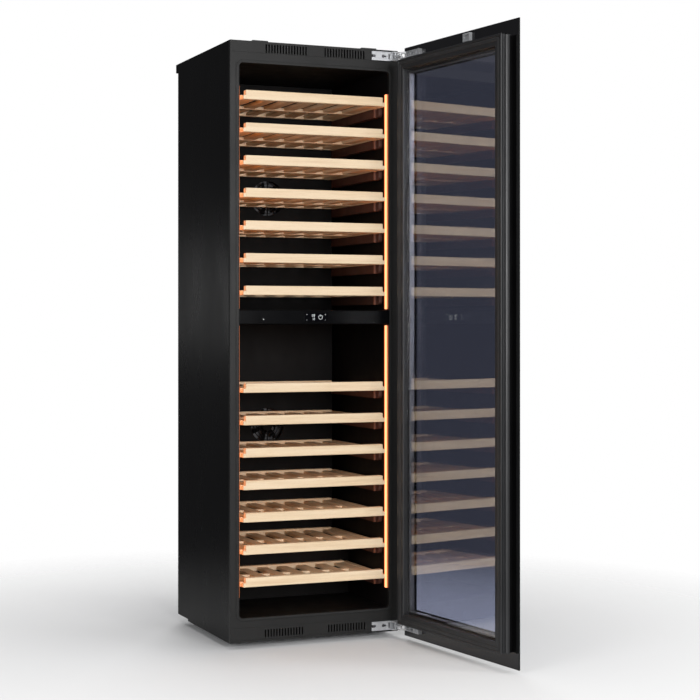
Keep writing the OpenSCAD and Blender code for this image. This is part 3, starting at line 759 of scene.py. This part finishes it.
def addStripLamp(side, z0, z1):
    # soft lamp beside the cover, thrown inwards over the shelves
    data = bpy.data.lights.new("stripGlow", "AREA")
    data.shape = "RECTANGLE"
    data.size = (z1 - z0) * mm
    data.size_y = lightLook["lampDepth"]
    data.color = lightLook["lampColour"]
    upperLow, upperHigh = stripMake["runs"][1]
    data.energy = lightLook["lampWatts"] * (z1 - z0) / (upperHigh - upperLow)
    data.spread = math.radians(lightLook["lampSpread"])
    lamp = bpy.data.objects.new("stripGlow", data)
    lamp.location = at(side * (stripMake["front"] - 1.0), stripMake["far"] + lightLook["lampBehind"],
                       (z0 + z1) / 2)
    way = Vector((-side, lightLook["lampTurn"], 0))
    lamp.rotation_euler = way.to_track_quat("-Z", "X").to_matrix().to_4x4().to_euler()
    lamp.visible_camera = False
    scene.collection.objects.link(lamp)


def makeStrips():
    m = stripMake
    finish["diffuser"] = diffuser("diffuser", m["near"] * mm, m["far"] * mm)
    mid = (m["near"] + m["far"]) / 2
    half = (m["far"] - m["near"]) / 2
    rise = m["wall"] - m["front"] - m["shoulder"]
    crown = [(m["front"] + rise * (1 - math.sqrt(max(0.0, 1 - t * t))), mid + half * t)
             for t in (-1, -0.97, -0.9, -0.75, -0.5, -0.2, 0.2, 0.5, 0.75, 0.9, 0.97, 1)]
    for side, word in ((-1, "left"), (1, "right")):
        bm = bmesh.new()
        outline = [(side * m["wall"], m["near"])] + [(side * x, y) for x, y in crown]
        outline += [(side * m["wall"], m["far"])]
        for z0, z1 in m["runs"]:
            addPrism(bm, outline, "z", z0, z1, 0.6, 2, 0, 60)
        finishPiece("light_strip_" + word, bm, ["diffuser"], "cabinet",
                    ["led_strip_" + word])
        for z0, z1 in m["runs"]:
            addStripLamp(side, z0, z1)


makeStrips()
print("light strips lit")


# wooden shelves
shelfMake = {
    "count": 14,
    "railHalf": 220.5, "railThick": 22.0, "railHeight": 27.5, "railRound": 2.4,
    "tongueX": 228.0, "tongueHeight": 12.0, "tongueRoot": 4.0, "tongueRound": 1.2,
    "runnerIn": 214.5, "runnerOut": 231.0, "runnerHeight": 14.0, "runnerRound": 1.4,
    "slats": 7, "slatWidth": 34.0, "slatThick": 10.0, "slatLift": 2.0, "slatRound": 1.8,
    "slatInset": 7.0, "housed": 0.8,        # runners and slats are let into the front rail
    "battenAt": 0.55, "battenWidth": 24.0, "battenRound": 1.4,
    "backThick": 18.0, "backHeight": 18.0, "backInset": 8.0, "backRound": 1.6,
    "lift": 0.2,        # undersides of tongues, batten and back rail above the rail's
}


def makeShelf(node):
    m = shelfMake
    low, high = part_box(node)
    y0, y1, z = low.y / mm, high.y / mm, low.z / mm
    bm = bmesh.new()
    half = m["railHalf"]
    short = half - m["backInset"]
    inner = y0 + m["railThick"]
    under = z + m["lift"]
    # front rail, its tongues, back rail and batten; grain across
    addBlock(bm, (-half, y0, z), (half, inner, z + m["railHeight"]), m["railRound"], 4)
    for side in (-1, 1):
        ends = sorted((side * (half - m["tongueRoot"]), side * m["tongueX"]))
        addBlock(bm, (ends[0], y0 + 0.6, under), (ends[1], inner - 0.4, z + m["tongueHeight"]),
                 m["tongueRound"], 3)
    addBlock(bm, (-short, y1 - m["backThick"], under), (short, y1, z + m["backHeight"]), m["backRound"], 3)
    mid = y0 + (y1 - y0) * m["battenAt"]
    addBlock(bm, (-short, mid, under), (short, mid + m["battenWidth"], z + m["slatThick"]),
             m["battenRound"], 3)
    # side runners and slats; grain front to back
    start = inner - m["housed"]
    for side in (-1, 1):
        ends = sorted((side * m["runnerIn"], side * m["runnerOut"]))
        addBlock(bm, (ends[0], start, z), (ends[1], y1, z + m["runnerHeight"]), m["runnerRound"], 3, 1)
    pitch = (2 * (half - m["slatInset"]) - m["slatWidth"]) / (m["slats"] - 1)
    slatLow = z + m["slatLift"]
    for i in range(m["slats"]):
        left = (i - (m["slats"] - 1) / 2) * pitch - m["slatWidth"] / 2
        addBlock(bm, (left, start, slatLow), (left + m["slatWidth"], y1 - 1, slatLow + m["slatThick"]),
                 m["slatRound"], 3, 1)
    finishPiece(node + "_wood", bm, ["beechAcross", "beechAlong"], node, [node])


for number in range(1, shelfMake["count"] + 1):
    makeShelf("shelf_%02d" % number)
print("shelves joined:", shelfMake["count"])


# the door, drawn shut
doorMake = {
    "half": 270.0, "z0": 35.0, "z1": 1731.0,
    "back": -298.0, "face": -258.0, "bead": -256.5, "beadRound": 0.5, "beadIn": 5.4,
    "grooveIn": 7.0, "grooveOut": 18.0, "grooveBottom": -262.0, "gasketTop": -256.6,
    "windowIn": 31.0, "ledge": 39.0, "paneFace": -273.0, "paneBack": -277.0,
    "belly": (-294.5, -275.5, 1.7),         # from, to, how far it swells
    "reeds": (-272.6, -268.6, -264.0), "reedDeep": 2.6, "reedOpen": 1.3,
}


def doorProfile():
    m = doorMake
    face, back, r = m["face"], m["back"], m["beadRound"]
    low, high, swell = m["belly"]
    shape = [(swell + 0.8, back), (swell + 0.8, low - 0.3)]
    for k in range(13):
        t = k / 6 - 1
        shape.append((swell * t * t, low + (high - low) * (t + 1) / 2))
    half = m["reedOpen"] / 2
    for y in m["reeds"]:
        shape += [(0.9, y - half - 0.3), (m["reedDeep"], y - half + 0.2), (m["reedDeep"], y + half - 0.2),
                  (0.9, y + half + 0.3)]
    shape += [(0.2, -260.6), (-0.9, -260.0)]
    shape += arc(-0.9 + r, m["bead"] - r, r, 180, 90, 3)
    shape += [(m["beadIn"] - 0.6, m["bead"]), (m["beadIn"], m["bead"] - 0.4), (m["beadIn"] + 0.3, face),
              (m["grooveIn"] - 0.3, face), (m["grooveIn"], face - 0.4), (m["grooveIn"], m["grooveBottom"]),
              (m["grooveOut"], m["grooveBottom"]), (m["grooveOut"], face - 0.5),
              (m["grooveOut"] + 0.5, face)]
    w = m["windowIn"]
    shape += [(w - 5.0, face), (w - 4.6, face - 0.7), (w - 3.6, face - 0.7)]    # reed by the glazing bead
    shape += arc(w - 2.6, face - 2.8, 2.6, 110, 0, 6)
    shape += [(w, m["paneBack"] - 0.2), (m["ledge"], m["paneBack"] - 0.2), (m["ledge"], back)]
    return shape


def makeDoorFrame():
    m = doorMake
    bm = bmesh.new()
    for side in ("left", "right", "top", "bottom"):
        addMember(bm, side, doorProfile(), m["half"], m["z0"], m["z1"])
    finishPiece("door_frame_mouldings", bm, ["doorPlastic"], "door", ["door_frame"],
                doorSwing, 30)


def makeGasket():
    # dart in the groove, a folded bellows and the magnet pocket on top
    m = doorMake
    top, floor = m["gasketTop"], m["grooveBottom"] + 0.1
    centre = (m["grooveIn"] + m["grooveOut"]) / 2
    half = (m["grooveOut"] - m["grooveIn"]) / 2 - 0.15
    shape = [(-half + 1.5, floor), (-half + 1.2, -260.6), (-half, -260.0), (-half + 0.1, -259.2),
             (-half + 1.5, -258.6), (-half + 0.2, -258.0), (-half + 0.3, -257.3), (-half + 1.1, -256.8)]
    shape += [(-1.6, top), (-0.7, top), (0.0, -257.5), (0.7, top), (1.6, top)]
    mirrored = [(-x, y) for x, y in reversed(shape[:8])]
    shape += mirrored
    bm = bmesh.new()
    addLoop(bm, shape, m["half"] - centre, m["z0"] + centre, m["z1"] - centre, 5, 6)
    finishPiece("door_gasket_bellows", bm, ["gasketRubber"], "door", ["door_gasket"],
                doorSwing, 35)


paneMake = {
    "outerHalf": 297.0, "outerZ": (-8.8, 1774.2), "outerY": (-303.0, -298.0), "grind": 0.9,
    "clearHalf": 226.0, "clearZ": (79.0, 1687.0),
    "innerHalf": 238.6, "innerZ": (66.4, 1699.6),
    "spacer": (39.0, 41.0, -294.5, -277.3), "sealant": (39.0, 43.5, -298.0, -294.5),
}


def makeOuterPane():
    # black printed margin round a smoked window
    m = paneMake
    bm = bmesh.new()
    (z0, z1), (y0, y1) = m["outerZ"], m["outerY"]
    addBlock(bm, (-m["outerHalf"], y0, z0), (m["outerHalf"], y1, z1), m["grind"], 2)
    half, (c0, c1) = m["clearHalf"], m["clearZ"]
    for point, way in (((-half, 0, 0), (1, 0, 0)), ((half, 0, 0), (1, 0, 0)),
                       ((0, 0, c0), (0, 0, 1)), ((0, 0, c1), (0, 0, 1))):
        bmesh.ops.bisect_plane(bm, geom=bm.verts[:] + bm.edges[:] + bm.faces[:],
                               plane_co=Vector(point) * mm, plane_no=way)
    for face in bm.faces:
        centre = face.calc_center_median() / mm
        flat = abs(face.normal.y) > 0.9
        clear = abs(centre.x) < half and c0 < centre.z < c1
        face.material_index = (1 if clear else 0) if flat else 2
    finishPiece("door_outer_pane", bm, ["blackPrint", "smokedPane", "groundRim"], "door",
                ["door_glass"], doorSwing, 30)


def makeInnerPane():
    m = paneMake
    bm = bmesh.new()
    z0, z1 = m["innerZ"]
    half, back, face = m["innerHalf"], doorMake["paneBack"], doorMake["paneFace"]
    addBlock(bm, (-half, back, z0), (half, face, z1), 0.5, 2)
    finishPiece("door_inner_pane", bm, ["innerPane"], "door", ["inner_glass"],
                doorSwing, 30)


def makePaneSpacer():
    # spacer and sealant that hold the two panes apart
    m = paneMake
    bm = bmesh.new()
    for part, index in (("spacer", 0), ("sealant", 1)):
        inner, outer, back, front = m[part]
        shape = [(-inner, back), (-inner, front), (-outer + 0.4, front), (-outer, front - 0.4),
                 (-outer, back + 0.4), (-outer + 0.4, back)]
        addLoop(bm, shape, doorMake["half"], doorMake["z0"], doorMake["z1"], 0, 1, index)
    finishPiece("pane_spacer", bm, ["spacerAluminium", "sealBlack"], "door", (),
                doorSwing, 30)


makeDoorFrame()
makeGasket()
makeOuterPane()
makeInnerPane()
makePaneSpacer()
print("door built")


# studio: pale floor that fades into the white, and soft lights
studioLook = {
    "floorZ": -0.018, "floorSize": 3.4, "solidTo": 0.45, "fadeTo": 1.9,
    "floorColour": (0.93, 0.93, 0.93),
    "backdrop": (1.0, 1.0, 1.0), "ambient": (0.09, 0.09, 0.095),
}
lampLook = (
    # name, place, aim, width, height, watts
    ("frontSoft", (0.2, -5.2, 1.5), (0.0, -0.2, 0.95), 2.4, 1.6, 170),
    ("leftSoft", (-3.4, -2.6, 1.4), (0.2, -0.5, 0.95), 1.6, 2.0, 55),
    ("sideGlow", (-2.3, 5.2, 1.1), (-0.27, 0.0, 1.1), 0.8, 0.6, 2.2),
    ("rightSoft", (3.4, -3.4, 2.0), (0.3, -0.6, 0.9), 1.4, 2.4, 45),
    ("topSoft", (0.0, -0.6, 4.4), (0.0, 0.0, 1.0), 2.4, 2.4, 55),
    ("backSoft", (1.2, 4.6, 2.4), (0.0, 0.2, 0.9), 2.4, 2.2, 90),
)


def makeFloor():
    m = studioLook
    bm = bmesh.new()
    bmesh.ops.create_grid(bm, x_segments=24, y_segments=24, size=m["floorSize"])
    mesh = bpy.data.meshes.new("studio_floor")
    bm.to_mesh(mesh)
    bm.free()
    floor = bpy.data.objects.new("studio_floor", mesh)
    floor.location = (0, 0, m["floorZ"])
    scene.collection.objects.link(floor)
    material, tree, shader, coords = startMaterial("paleFloor", m["floorColour"], 0.75)
    length = addNode(tree, "ShaderNodeVectorMath", operation="LENGTH")
    tree.links.new(coords, length.inputs[0])
    tree.links.new(rangeOf(tree, length.outputs["Value"], 1.0, 0.0, m["solidTo"], m["fadeTo"]),
                   shader.inputs["Alpha"])
    bumpOn(tree, shader, noiseOf(tree, coords, 180, 2), 0.03, 0.0005)
    mesh.materials.append(material)


def makeSurround():
    world = bpy.data.worlds.new("studioWhite")
    scene.world = world
    world.use_nodes = True
    tree = world.node_tree
    tree.nodes.clear()
    output = addNode(tree, "ShaderNodeOutputWorld")
    mix = addNode(tree, "ShaderNodeMixShader")
    path = addNode(tree, "ShaderNodeLightPath")
    around, behind = (addNode(tree, "ShaderNodeBackground") for _ in range(2))
    around.inputs["Color"].default_value = (*studioLook["ambient"], 1)
    behind.inputs["Color"].default_value = (*studioLook["backdrop"], 1)
    tree.links.new(path.outputs["Is Camera Ray"], mix.inputs[0])
    tree.links.new(around.outputs[0], mix.inputs[1])
    tree.links.new(behind.outputs[0], mix.inputs[2])
    tree.links.new(mix.outputs[0], output.inputs["Surface"])


def hangLamps():
    for name, place, aim, width, height, watts in lampLook:
        data = bpy.data.lights.new(name, "AREA")
        data.shape = "RECTANGLE"
        data.size, data.size_y = width, height
        data.energy = watts
        lamp = bpy.data.objects.new(name, data)
        lamp.location = place
        way = Vector(aim) - Vector(place)
        lamp.rotation_euler = way.to_track_quat("-Z", "Y").to_euler()
        lamp.visible_camera = False
        scene.collection.objects.link(lamp)


makeFloor()
makeSurround()
hangLamps()
scene.view_settings.view_transform = "Standard"
scene.view_settings.look = "None"
print("studio lit")
